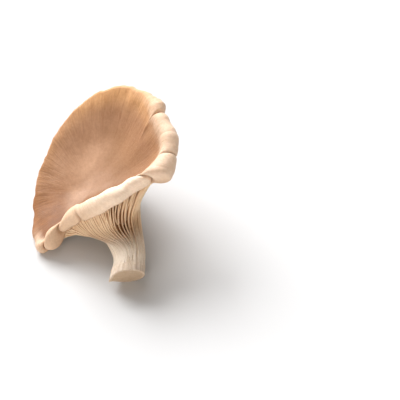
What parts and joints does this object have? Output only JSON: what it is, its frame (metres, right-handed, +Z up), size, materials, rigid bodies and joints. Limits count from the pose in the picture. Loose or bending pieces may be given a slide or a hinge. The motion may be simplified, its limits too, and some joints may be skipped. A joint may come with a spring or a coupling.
{
  "type": "oyster mushroom",
  "caption": "Whole picked oyster mushroom lying at rest: lopsided funnel cap with a curled margin, gills and a short cut stem.",
  "frame": {"origin": "middle of the bounding box, on the surface that the mushroom lies on", "axes": "+Z up, +Y from the cut foot of the stem towards the back of the cap, +X to the right seen from the foot"},
  "size_m": [0.086, 0.108, 0.0651],
  "materials": {
    "flesh": "matt to satin, tan cap with cream margin, gills and stem"
  },
  "bodies": {
    "root": {"mushroom": "flesh"}
  },
  "joints": []
}
